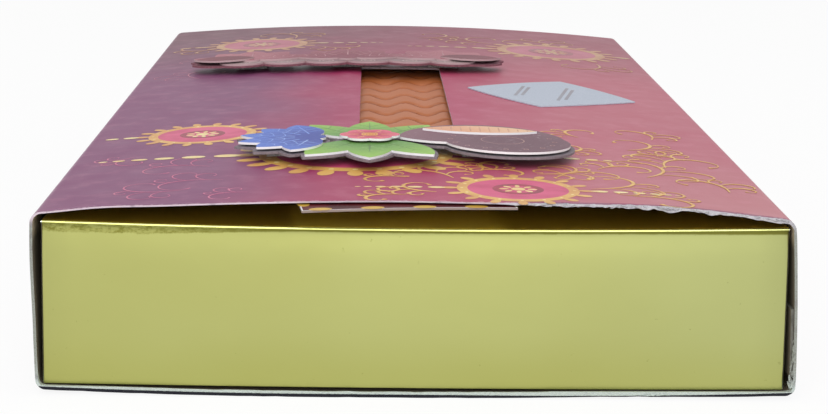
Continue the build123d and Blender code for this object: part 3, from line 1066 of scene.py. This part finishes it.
class BOX_OT_ornament(bpy.types.Operator):
    """Lay the gold scrolls, medallions and dots of the print on the top panel"""

    bl_idname = "sweetbox.ornament"
    bl_label = "Printed ornament"

    # each medallion's middle, radius and number of petals
    medallions = (
        (20.8, -138.4, 14.6, 16),
        (-12.5, -100.0, 25.0, 24),
        (-49.0, -69.0, 14.8, 18),
        (48.0, 96.0, 20.0, 20),
        (-44.0, 104.0, 17.0, 18),
    )
    # each sprig's root, heading, length and hand
    gold_sprigs = (
        (8, -128, 1.9, 24, 1), (30, -124, 1.2, 26, -1), (36, -136, 0.35, 30, 1), (44, -142, 0.1, 24, -1),
        (4, -143, 2.9, 18, -1), (50, -118, 0.9, 34, 1), (56, -104, 1.6, 30, -1), (62, -92, 2.3, 22, 1),
        (18, -118, 2.4, 18, -1), (40, -112, 1.1, 22, -1), (-20, -74, 2.0, 22, 1), (50, -84, 0.6, 26, 1),
        (12, -120, 0.7, 20, -1), (26, -121, 0.2, 24, 1), (-2, -128, 2.7, 16, 1), (58, -66, 1.3, 22, 1),
        (40, -70, 2.2, 20, -1), (66, -128, 1.5, 24, 1), (34, -92, 0.5, 18, 1), (-4, -146, 3.1, 14, 1),
        (52, 112, 2.0, 34, 1), (30, 108, 2.6, 30, -1), (-34, 118, 1.4, 30, 1), (-58, 96, 3.3, 24, -1),
        (60, 74, 4.9, 30, -1), (6, 118, 0.2, 26, 1), (-26, 96, 5.4, 24, 1),
    )
    pink_sprigs = (
        (-40, -128, 2.9, 26, 1), (-48, -138, 3.4, 24, -1), (-44, -112, 2.6, 26, 1), (-62, -96, 3.9, 18, 1),
        (-34, -142, 3.0, 16, 1), (-58, 30, 2.2, 30, -1), (-60, 60, 1.2, 22, 1),
    )
    line_steps = 34

    def execute(self, context):
        colours = context.scene.print_colours
        gold = ink("gold_ink", colours.gold, linear(206, 150, 84))
        pale = ink("pale_ink", colours.pale_gold, linear(226, 196, 130))
        rose = ink("rose_ink", colours.rose, linear(190, 60, 104))
        maroon = ink("maroon_ink", colours.maroon, linear(160, 44, 70))
        pink = ink("pink_ink", linear(214, 120, 150), linear(200, 104, 140))
        self.stamp("print_rose", 0.02, rose, self.hub, 0.74, 0.0)
        self.stamp("print_gold_rings", 0.03, gold, self.hub, 0.86, 0.15)
        self.stamp("print_maroon_rings", 0.04, maroon, self.hub, 0.36, 0.1)
        self.stamp("print_pale_hearts", 0.05, pale, self.hub, 0.1, 0.0)
        self.stamp("print_gold_petals", 0.045, gold, self.petals, 0.96, 0.24, 0.14, 1)
        self.stamp("print_pale_petals", 0.055, pale, self.petals, 0.2, 0.14, 0.07, 0.5)
        self.stamp("print_pale_beads", 0.06, pale, self.petals, 0.79, 0.05, 0.05, 1)
        self.stamp("print_pale_tails", 0.05, pale, self.tails)
        bead = ring(-5.7 * MM, -140.8 * MM, 2.1 * MM, 0.8)
        ribbons("print_gold_scrolls", [*self.sprigs(self.gold_sprigs), bead], 0.95 * MM, gold, 0.05 * MM)
        ribbons("print_pink_swirls", self.sprigs(self.pink_sprigs), 0.42 * MM, pink, 0.03 * MM)
        return {"FINISHED"}

    def stamp(self, name, lift, material, mark, *shares):
        """Marks each medallion on a flat piece, cuts the window out of it and lays it on the panel."""
        piece = added(name)
        with editing(piece):
            for medallion in self.medallions:
                mark(medallion, *shares)
        left, right, near, far = window_edges(0.35 * MM)

        def open_here(face):
            spot = face.calc_center_median()
            return left < spot.x < right and near < spot.y < far

        with editing(piece, "EDGE"):
            slice_at((left, right), ACROSS)
            slice_at((near, far), ALONG)
        with editing(piece):
            if pick("faces", open_here):
                bpy.ops.mesh.delete(type="FACE")
        thicken(piece, INK)
        lay(piece, lift * MM)
        attach(piece, "sleeve", "printed_board", material=material)

    def hub(self, medallion, reach, rim):
        """A disc, or a rim of a share of the radius, in the middle of a medallion."""
        x, y, radius = medallion[:3]
        outer = radius * reach * MM
        disc(x * MM, y * MM, outer, corners=72)
        if rim:
            hollow(radius * rim * MM)
            return
        for step in range(5):
            bpy.ops.mesh.inset(thickness=outer / 6)

    def petals(self, medallion, reach, long, wide, share):
        """A ring of petals round a medallion."""
        x, y, radius, count = medallion
        disc((x + radius * reach) * MM, y * MM, radius * long / 2 * MM, corners=12, stretch=(1, wide / long))
        repeat_round(x * MM, y * MM, max(6, round(count * share)))

    def tails(self, medallion):
        """A tapering row of pale beads to each side of a medallion."""
        x, y, radius = medallion[:3]
        for side in (-1, 1):
            place = radius * 1.14
            for step in range(6):
                size = (1.5 - 0.2 * step) * radius / 18
                bead_x = (x + side * place) * MM
                if abs(bead_x) > half_width() - 5 * MM:
                    break
                disc(bead_x, y * MM, size * MM, corners=10, stretch=(1.5, 0.8))
                place += size * 3.6

    def line(self, x, y, heading, reach, bend, curl, weight=1.0):
        """A scroll whose turn grows from bend to curl, thick in its middle and round at its end."""
        points = []
        for k in range(self.line_steps + 1):
            share = k / self.line_steps
            swell = 0.35 + 0.65 * math.sin(math.pi * min(1.0, share * 1.15)) + 0.9 * hump(share, 1.0, 0.05)
            points.append((x * MM, y * MM, weight * swell))
            heading += (bend + (curl - bend) * share) / self.line_steps
            x, y = around(x, y, reach / self.line_steps, heading)
        return points

    def sprigs(self, roots):
        """Scroll stems, each with three curling branches."""
        lines = []
        for x, y, heading, reach, hand in roots:
            stem = self.line(x, y, heading, reach, 0.4 * hand, 8.5 * hand)
            lines.append(stem)
            for share, turn, part in ((0.16, -0.7, 0.5), (0.3, -0.9, 0.62), (0.42, -0.5, 0.34)):
                index = int(share * self.line_steps)
                root, after = stem[index], stem[index + 1]
                away = math.atan2(after[1] - root[1], after[0] - root[0]) + turn * hand
                start = (root[0] / MM, root[1] / MM)
                lines.append(self.line(*start, away, reach * part, -0.6 * hand, -9.0 * hand, 0.8))
        return lines


class BOX_OT_tray(bpy.types.Operator):
    """Fold the gold tray, with its rolled top edge, crease, ledge and well"""

    bl_idname = "sweetbox.tray"
    bl_label = "Gold tray"

    def execute(self, context):
        sizes = context.scene.tray_sizes
        high = tray_high
        tray = block("gold_tray", tray_low, high)
        well_x = high.x - sizes.side_ledge
        well_y = high.y - sizes.end_ledge

        def in_well(face):
            spot = face.calc_center_median()
            return face.normal.z > 0.9 and abs(spot.x) < well_x and abs(spot.y) < well_y

        def at_top(edge):
            return middle(edge).z > high.z - CLOSE and not runs(edge, UP)

        def outer_top(edge):
            spot = middle(edge)
            return at_top(edge) and (abs(spot.x) > high.x - CLOSE or abs(spot.y) > high.y - CLOSE)

        def corner(edge):
            return runs(edge, UP) and abs(middle(edge).x) > high.x - CLOSE

        def rim(edge):
            x, y = map(abs, middle(edge).xy)
            along = abs(x - well_x) < CLOSE and runs(edge, ALONG) and y < well_y
            across = abs(y - well_y) < CLOSE and runs(edge, ACROSS) and x < well_x
            return at_top(edge) and (along or across)

        with editing(tray, "EDGE"):
            slice_at((-well_x, well_x), ACROSS)
            slice_at((-well_y, well_y), ALONG)
        with editing(tray):
            pick("faces", in_well)
            pull(sizes.board - (high.z - tray_low.z))
        with editing(tray, "EDGE"):
            bevel(outer_top, sizes.fold_radius, 6)
            bevel(corner, sizes.corner_radius, 3)
            bevel(rim, sizes.rim_radius, 3)
            self.divide(sizes)
        outwards(tray)
        shape(tray, self.slump)
        soften(tray, 40)
        attach(tray, "tray", "gold_board", "tray", material=gold_foil(context.scene.piece_colours))
        return {"FINISHED"}

    def divide(self, sizes):
        """Adds the rows of the crease and enough columns to bow the walls."""
        crease = tray_high.z - sizes.crease_drop
        slice_at([crease + step * MM for step in (0.2, -0.1, -0.6, -1.6, -3.2, -5.1)], UP)
        slice_at([tray_high.z - row * MM for row in (9, 17, 25)], UP)
        slice_at([column * MM for column in range(-66, 67, 6)], ACROSS)
        slice_at([row * MM for row in (-148, -144, -139, -133, 133, 139, 144, 148)], ALONG)
        slice_at([row * MM for row in range(-112, 113, 16)], ALONG)

    def slump(self, co):
        """Dips the end walls, bows the faces and presses in the crease."""
        sizes = bpy.context.scene.tray_sizes
        x, y, z = co
        height = (z - tray_low.z) / (tray_high.z - tray_low.z)
        bow = 1 - (x / tray_high.x) ** 2
        end = bow * smooth(abs(y), 112 * MM, 150 * MM)
        outer_end = smooth(abs(y), 149.2 * MM, 150.4 * MM)
        outer_side = smooth(abs(x), 72.8 * MM, 73.7 * MM)
        under = tray_high.z - z
        pinch = smooth(under, sizes.fold_radius, sizes.crease_drop)
        pinch *= 1 - smooth(under, sizes.crease_drop, sizes.crease_drop + sizes.crease_reach)
        z -= end * (sizes.top_dip * smooth(height, 0.25, 1.0) + sizes.foot_sag * (1 - height) ** 3)
        y += math.copysign(outer_end, y) * 0.15 * MM * bow * 4 * height * (1 - height)
        crease = sizes.crease_depth * pinch * (0.75 + 0.35 * ripple(x + y, 0, 9 * MM))
        y -= math.copysign(outer_end, y) * crease
        x += math.copysign(outer_side, x) * (0.28 * MM * (1 - height) - crease)
        return (x, y, z)


class BOX_OT_pad(bpy.types.Operator):
    """Emboss the padded sheet with its rows of waves"""

    bl_idname = "sweetbox.pad"
    bl_label = "Padded sheet"

    # the rows of waves are counted from the middle to both ends
    last_row = 8

    def execute(self, context):
        sizes = context.scene.pad_sizes
        pad = sheet_of("padded_sheet", pad_low, pad_high, columns=240, rows=250, z=pad_high.z)
        rim = sizes.edge_radius / 2
        with editing(pad, "EDGE"):
            bpy.ops.mesh.select_all(action="SELECT")
            bpy.ops.mesh.region_to_loop()
            pull(-rim)
            pull(pad_low.z - pad_high.z + rim)
            bpy.ops.mesh.edge_face_add()
        outwards(pad)
        shape(pad, self.emboss)
        soften(pad, 50)
        copper = copper_sheet(context.scene.piece_colours, sizes)
        attach(pad, "tray", "copper_pad", "cushion_pad", material=copper)
        return {"FINISHED"}

    def emboss(self, co):
        """Sinks the wavy grooves, swells the rows between them and rounds the edge."""
        sizes = bpy.context.scene.pad_sizes
        x, y, z = co
        if z < pad_high.z - 0.1 * MM:
            return co
        wave = sizes.wave_height / 2 * math.cos(math.tau * x / sizes.wave_length)
        row = round((y - wave) / sizes.wave_pitch)
        off = abs(y - wave - row * sizes.wave_pitch)
        inside = smooth(pad_high.x - abs(x), 3 * MM, 6 * MM)
        if abs(row) <= self.last_row and off < sizes.groove_width / 2:
            z -= sizes.groove_depth * math.cos(math.pi * off / sizes.groove_width) * inside
        z -= 0.12 * MM * math.cos(math.pi * off / sizes.wave_pitch) ** 2 * inside
        edge = min(pad_high.x - abs(x), pad_high.y - abs(y))
        if edge < sizes.edge_radius:
            z -= sizes.edge_radius / 2 * (1 - math.sqrt(max(0.0, 1 - (1 - edge / sizes.edge_radius) ** 2)))
        z = min(z + 0.05 * MM * ripple(x, y, 8 * MM), pad_high.z)
        z += sizes.crown * (1 - (x / pad_high.x) ** 2) * smooth(pad_high.y - abs(y), 0, 22 * MM)
        return (x, y, z)


class BOX_OT_insert(bpy.types.Operator):
    """Print the insert card and tuck it askew under the top panel"""

    bl_idname = "sweetbox.insert"
    bl_label = "Insert card"

    def execute(self, context):
        sizes = context.scene.card_sizes
        colours = context.scene.piece_colours
        white = plain_card("white_paper", colours.white, linear(214, 210, 212), 0.5, linear(132, 116, 110))
        maroon = ink("maroon_field", colours.maroon, linear(54, 8, 14), 0.5)
        gold = ink("scallop_gold", colours.scallop, linear(190, 146, 50))
        paper = sheet_of("insert_paper", (0, 0), (sizes.width, sizes.depth), columns=44, rows=60)
        self.tuck(paper, sizes.card - 0.05 * MM, 0, white, "insert_card")
        inner = (sizes.width - sizes.border, sizes.depth - sizes.border)
        field = sheet_of("insert_field", (sizes.border, sizes.border), inner, columns=42, rows=56)
        self.tuck(field, 0.02 * MM, sizes.card - 0.045 * MM, maroon)
        self.tuck(self.scallops(sizes), INK, sizes.card - 0.02 * MM, gold)
        return {"FINISHED"}

    def scallops(self, sizes):
        """Gold crescents along the card's edges and rings down its middle."""
        piece = added("insert_scallops")
        pitch = sizes.width / 4.15
        inner = sizes.border + 0.5 * MM
        across = [(pitch * (k + 0.36), (1.0, 0.55)) for k in range(4)]
        along = [(pitch * (k + 0.6), (0.55, 1.0)) for k in range(6)]
        spots = [(x, y, stretch) for y in (inner, sizes.depth - inner) for x, stretch in across]
        spots += [(x, y, stretch) for x in (inner, sizes.width - inner) for y, stretch in along]
        with editing(piece):
            for x, y, stretch in spots:
                disc(x, y, 2.3 * MM, corners=24, stretch=stretch)
            slice_at([0.95 * sizes.border], ALONG)
            for row in range(1, 4):
                x, y = sizes.width / 2, sizes.depth * row / 4
                for reach in (5.4, 3.4):
                    disc(x, y, reach * MM, corners=32)
                    hollow(0.6 * MM)
                disc(x + 1.5 * MM, y, 1.1 * MM, corners=10, stretch=(1, 0.5))
                repeat_round(x, y, 8)
        return piece

    def tuck(self, piece, thickness, lift, material, *nodes):
        """Thickens a flat piece of the card, turns it to its place and bends it under the panel."""
        sizes = bpy.context.scene.card_sizes
        turn = Matrix.Rotation(sizes.angle, 3, "Z")
        corner = Vector((-sizes.left, near_end - sizes.overhang, 0))
        height = corner_height() - sleeve_sizes().board - sizes.gap - sizes.card + lift

        def move(co):
            spot = turn @ co + corner
            return (spot.x, spot.y, arch(spot.x) + height + co.z)

        thicken(piece, thickness)
        shape(piece, move)
        attach(piece, "card", "maroon_card", *nodes, material=material)


class BOX_OT_near_topper(bpy.types.Operator):
    """Finish the near topper's layers and print their lines"""

    bl_idname = "sweetbox.near_topper"
    bl_label = "Near topper"

    def execute(self, context):
        colours = context.scene.piece_colours
        leaf_low, leaf_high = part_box("near_leaves")
        stalk = ((leaf_low + leaf_high) / 2).xy
        petal_root = (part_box("near_petals")[1].x, stalk.y)
        drop_low, drop_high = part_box("near_paisley")
        drop_root = (drop_high.x - 12 * MM, drop_low.y + 12 * MM)
        crescent_root = (4 * MM, -98 * MM)
        layers = (
            ("near_leaves", "leaf_print", colours.green, linear(92, 140, 70), stalk, 26.0),
            ("near_petals", "petal_print", colours.blue, linear(48, 66, 150), petal_root, 22.0),
            ("near_paisley", "drop_print", colours.plum, linear(92, 52, 68), drop_root, 30.0),
            ("near_crescent", "crescent_print", colours.cream, linear(214, 150, 116), crescent_root, 26.0),
            ("near_blossom", "blossom_print", colours.pink, linear(178, 42, 76), stalk, 6.5),
        )
        for node, name, shade, deep, root, reach in layers:
            paint_node(node, die_cut(name, shade, deep, colours.white, root, reach))
        # painted shadow: the backing card is dark grey-brown so that it reads as the shade under the raised
        # layers
        backing = plain_card("backing_paper", linear(132, 122, 128), linear(108, 98, 104), 0.6)
        paint_node("near_backing", backing)
        foam = foam_block(colours.white)
        paint_node("near_foam_pads", foam)
        paint_node("far_foam_pads", foam)
        sizes = context.scene.topper_sizes
        self.leaf_and_petal_veins(sizes, stalk)
        self.drop_rings(sizes, (drop_low.x + drop_high.x) / 2, (drop_low.y + drop_high.y) / 2)
        self.blossom_heart(sizes, stalk)
        self.crescent_rays(sizes)
        return {"FINISHED"}

    def leaf_and_petal_veins(self, sizes, stalk):
        """Veins of the two fans of leaves and of the fan of petals."""
        lines = []
        for aim in (math.tau / 4, -math.tau / 4):
            lines += fan(stalk, aim, 70, 3, sizes.leaf_length, sizes.leaf_width, 0.3)
        green = ink("leaf_ink", linear(74, 116, 44), linear(96, 140, 52))
        ribbons("leaf_veins", lines, sizes.line, green, line_height(2), "leaf_green")
        root = (stalk.x - sizes.petal_setback, stalk.y)
        lines = fan(root, math.pi, 150, 6, sizes.petal_length, sizes.petal_width)
        blue = ink("petal_ink", linear(150, 178, 232), linear(120, 150, 222))
        ribbons("petal_veins", lines, sizes.line * 0.8, blue, line_height(3), "petal_blue")

    def drop_rings(self, sizes, x, y):
        """Rings in the drop with a border of beads, less those that the crescent covers."""
        x += 4 * MM
        y -= 2.5 * MM
        rings = [ring(x, y, (9.6 - 2.4 * k) * MM, 1.0 - 0.15 * k) for k in range(3)]
        rings += [ring(*around(x, y, 11.6 * MM, math.tau * k / 16), 0.5 * MM, 0.7) for k in range(16)]
        low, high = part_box("near_crescent")

        def covered(point):
            return low.x < point[0] < high.x and low.y < point[1] < high.y

        kept = [points for points in rings if not any(map(covered, points))]
        dusk = ink("drop_ink", linear(176, 138, 128), linear(150, 108, 108))
        ribbons("drop_rings", kept, sizes.line * 0.8, dusk, line_height(3), "plum_card")

    def blossom_heart(self, sizes, stalk):
        """Rings in the blossom's middle and a ray in each of its petals."""
        lines = [ring(*stalk, radius * MM) for radius in (0.5, 1.1, 1.7)]
        reach = sizes.blossom_reach + 0.4 * MM
        for k in range(6):
            turn = math.tau * k / 6
            parts = (0.62, 0.85, 1.1, 1.35)
            lines.append([(*around(*stalk, reach * part, turn), 1.1 - part / 2) for part in parts])
        yellow = ink("heart_ink", linear(236, 200, 96), linear(226, 168, 72))
        ribbons("blossom_heart", lines, sizes.line, yellow, line_height(4), "blossom_pink")

    def crescent_rays(self, sizes):
        """Short lines across the crescent, longest in its middle."""
        low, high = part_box("near_crescent")
        y = (low.y + high.y) / 2
        rays = []
        for k in range(1, 12):
            half = (high.y - low.y) / 2 * math.sin(math.pi * k / 12) * 0.7
            x = low.x + (high.x - low.x) * k / 12
            rays.append([(x, y - half, 0.6), (x, y, 1.0), (x, y + half, 0.6)])
        tan = ink("crescent_ink", linear(206, 150, 118), linear(190, 128, 100))
        ribbons("crescent_lines", rays, sizes.line * 0.8, tan, line_height(4), "cream_card")


class BOX_OT_far_topper(bpy.types.Operator):
    """Finish the far topper's layers and print their lines"""

    bl_idname = "sweetbox.far_topper"
    bl_label = "Far topper"

    def execute(self, context):
        colours = context.scene.piece_colours
        low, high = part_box("far_petals")
        root = ((low.x + high.x) / 2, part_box("far_ribbon")[0].y + 7 * MM)
        edge = linear(178, 150, 154)
        layers = (
            ("far_petals", "far_petal_print", colours.rose, linear(118, 40, 62), 34.0),
            ("far_ribbon", "far_ribbon_print", colours.ribbon, linear(132, 104, 108), 36.0),
            ("far_buds", "far_bud_print", colours.bud, linear(84, 20, 36), 60.0),
        )
        for node, name, shade, deep, reach in layers:
            paint_node(node, die_cut(name, shade, deep, edge, root, reach))
        # the far backing's dark maroon is partly the card's own colour and partly painted shadow under the
        # far topper
        backing = plain_card("far_backing_paper", linear(134, 82, 94), linear(102, 58, 70), 0.6)
        paint_node("far_backing", backing)
        self.lines(context.scene.topper_sizes, *root)
        return {"FINISHED"}

    def lines(self, sizes, x, y):
        """Veins of the far petals and rings in the scallops."""
        petal_lines = []
        for k in (-1, 0, 1):
            root = (x + sizes.spray_pitch * k, y)
            petal_lines += fan(root, math.tau / 4, 140, 5, sizes.far_petal_length, sizes.far_petal_width, 0.3)
        dark = ink("far_petal_ink", linear(196, 130, 140), linear(178, 108, 122))
        ribbons("far_petal_veins", petal_lines, sizes.line, dark, line_height(3), "rose_card")
        rings = []
        for k in range(6):
            centre = (x + sizes.scallop_pitch * (k - 2.5), y - sizes.scallop_radius * 0.55)
            rings += [ring(*centre, 2.0 * MM), ring(*centre, 1.0 * MM)]
        pale = ink("ribbon_ink", linear(206, 190, 186), linear(190, 172, 170))
        ribbons("ribbon_rings", rings, sizes.line, pale, line_height(2), "ribbon_card")


class BOX_OT_label(bpy.types.Operator):
    """Finish the lozenge label and rule its plain grey bars"""

    bl_idname = "sweetbox.label"
    bl_label = "Label"

    # each bar's place across the label and its length
    bars = ((-8.6, 19.0), (-6.9, 16.0), (3.2, 25.0), (5.0, 20.0))

    def execute(self, context):
        shade = context.scene.print_colours.label
        paint_node("top_label", plain_card("label_paper", shade, linear(174, 182, 196), 0.5))
        low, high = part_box("top_label")
        centre = Vector(((low.x + high.x) / 2, (low.y + high.y) / 2, 0))
        turn = Matrix.Rotation(math.radians(-11), 3, "Z")
        piece = added("label_bars")
        with editing(piece, "EDGE"):
            for x, long in self.bars:
                bpy.ops.mesh.select_all(action="DESELECT")
                bpy.ops.mesh.primitive_grid_add(x_subdivisions=2, y_subdivisions=12, size=1)
                bpy.ops.transform.resize(value=(0.9 * MM, long * MM, 1), center_override=(0, 0, 0))
                bpy.ops.transform.translate(value=(x * MM, 0, 0))
        shape(piece, lambda co: turn @ co + centre)
        thicken(piece, 0.02 * MM)
        lay(piece, 0.355 * MM)
        grey = ink("grey_ink", linear(122, 130, 142), linear(140, 148, 160))
        attach(piece, "sleeve", "label_paper", material=grey)
        return {"FINISHED"}


class BOX_OT_dividers(bpy.types.Operator):
    """Finish the card dividers under the padded sheet"""

    bl_idname = "sweetbox.dividers"
    bl_label = "Dividers"

    def execute(self, context):
        card = plain_card("divider_card", context.scene.piece_colours.grey, linear(140, 132, 120), 1.0)
        for name in sorted(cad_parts):
            if name.startswith("divider_"):
                paint_node(name, card)
        return {"FINISHED"}


class BOX_PT_panel(bpy.types.Panel):
    """Sizes, colours and steps of the sweet box"""

    bl_idname = "BOX_PT_panel"
    bl_label = "Sweet box"
    bl_space_type = "VIEW_3D"
    bl_region_type = "UI"
    bl_category = "Sweet box"

    def draw(self, context):
        layout = self.layout
        for step in STEPS:
            layout.operator(step.bl_idname)
        for name in GROUPS:
            group = getattr(context.scene, name)
            box = layout.box()
            for key in group.__annotations__:
                box.prop(group, key)


GROUPS = {
    "sleeve_sizes": SleeveSizes,
    "tray_sizes": TraySizes,
    "pad_sizes": PadSizes,
    "card_sizes": CardSizes,
    "topper_sizes": TopperSizes,
    "print_colours": PrintColours,
    "piece_colours": PieceColours,
}
STEPS = (
    BOX_OT_stage,
    BOX_OT_sleeve,
    BOX_OT_ornament,
    BOX_OT_tray,
    BOX_OT_pad,
    BOX_OT_insert,
    BOX_OT_near_topper,
    BOX_OT_far_topper,
    BOX_OT_label,
    BOX_OT_dividers,
)


def register():
    """Registers the property groups, the operators and the panel."""
    for name, group in GROUPS.items():
        bpy.utils.register_class(group)
        setattr(bpy.types.Scene, name, bpy.props.PointerProperty(type=group))
    for step in (*STEPS, BOX_PT_panel):
        bpy.utils.register_class(step)


def unregister():
    """Takes the panel, the operators and the property groups away again."""
    for step in (BOX_PT_panel, *reversed(STEPS)):
        bpy.utils.unregister_class(step)
    for name, group in GROUPS.items():
        delattr(bpy.types.Scene, name)
        bpy.utils.unregister_class(group)


def main():
    """Builds the whole box, one piece after another."""
    register()
    bpy.ops.sweetbox.stage()
    bpy.ops.sweetbox.sleeve()
    bpy.ops.sweetbox.ornament()
    bpy.ops.sweetbox.tray()
    bpy.ops.sweetbox.pad()
    bpy.ops.sweetbox.insert()
    bpy.ops.sweetbox.near_topper()
    bpy.ops.sweetbox.far_topper()
    bpy.ops.sweetbox.label()
    bpy.ops.sweetbox.dividers()


if __name__ == "__main__":
    main()
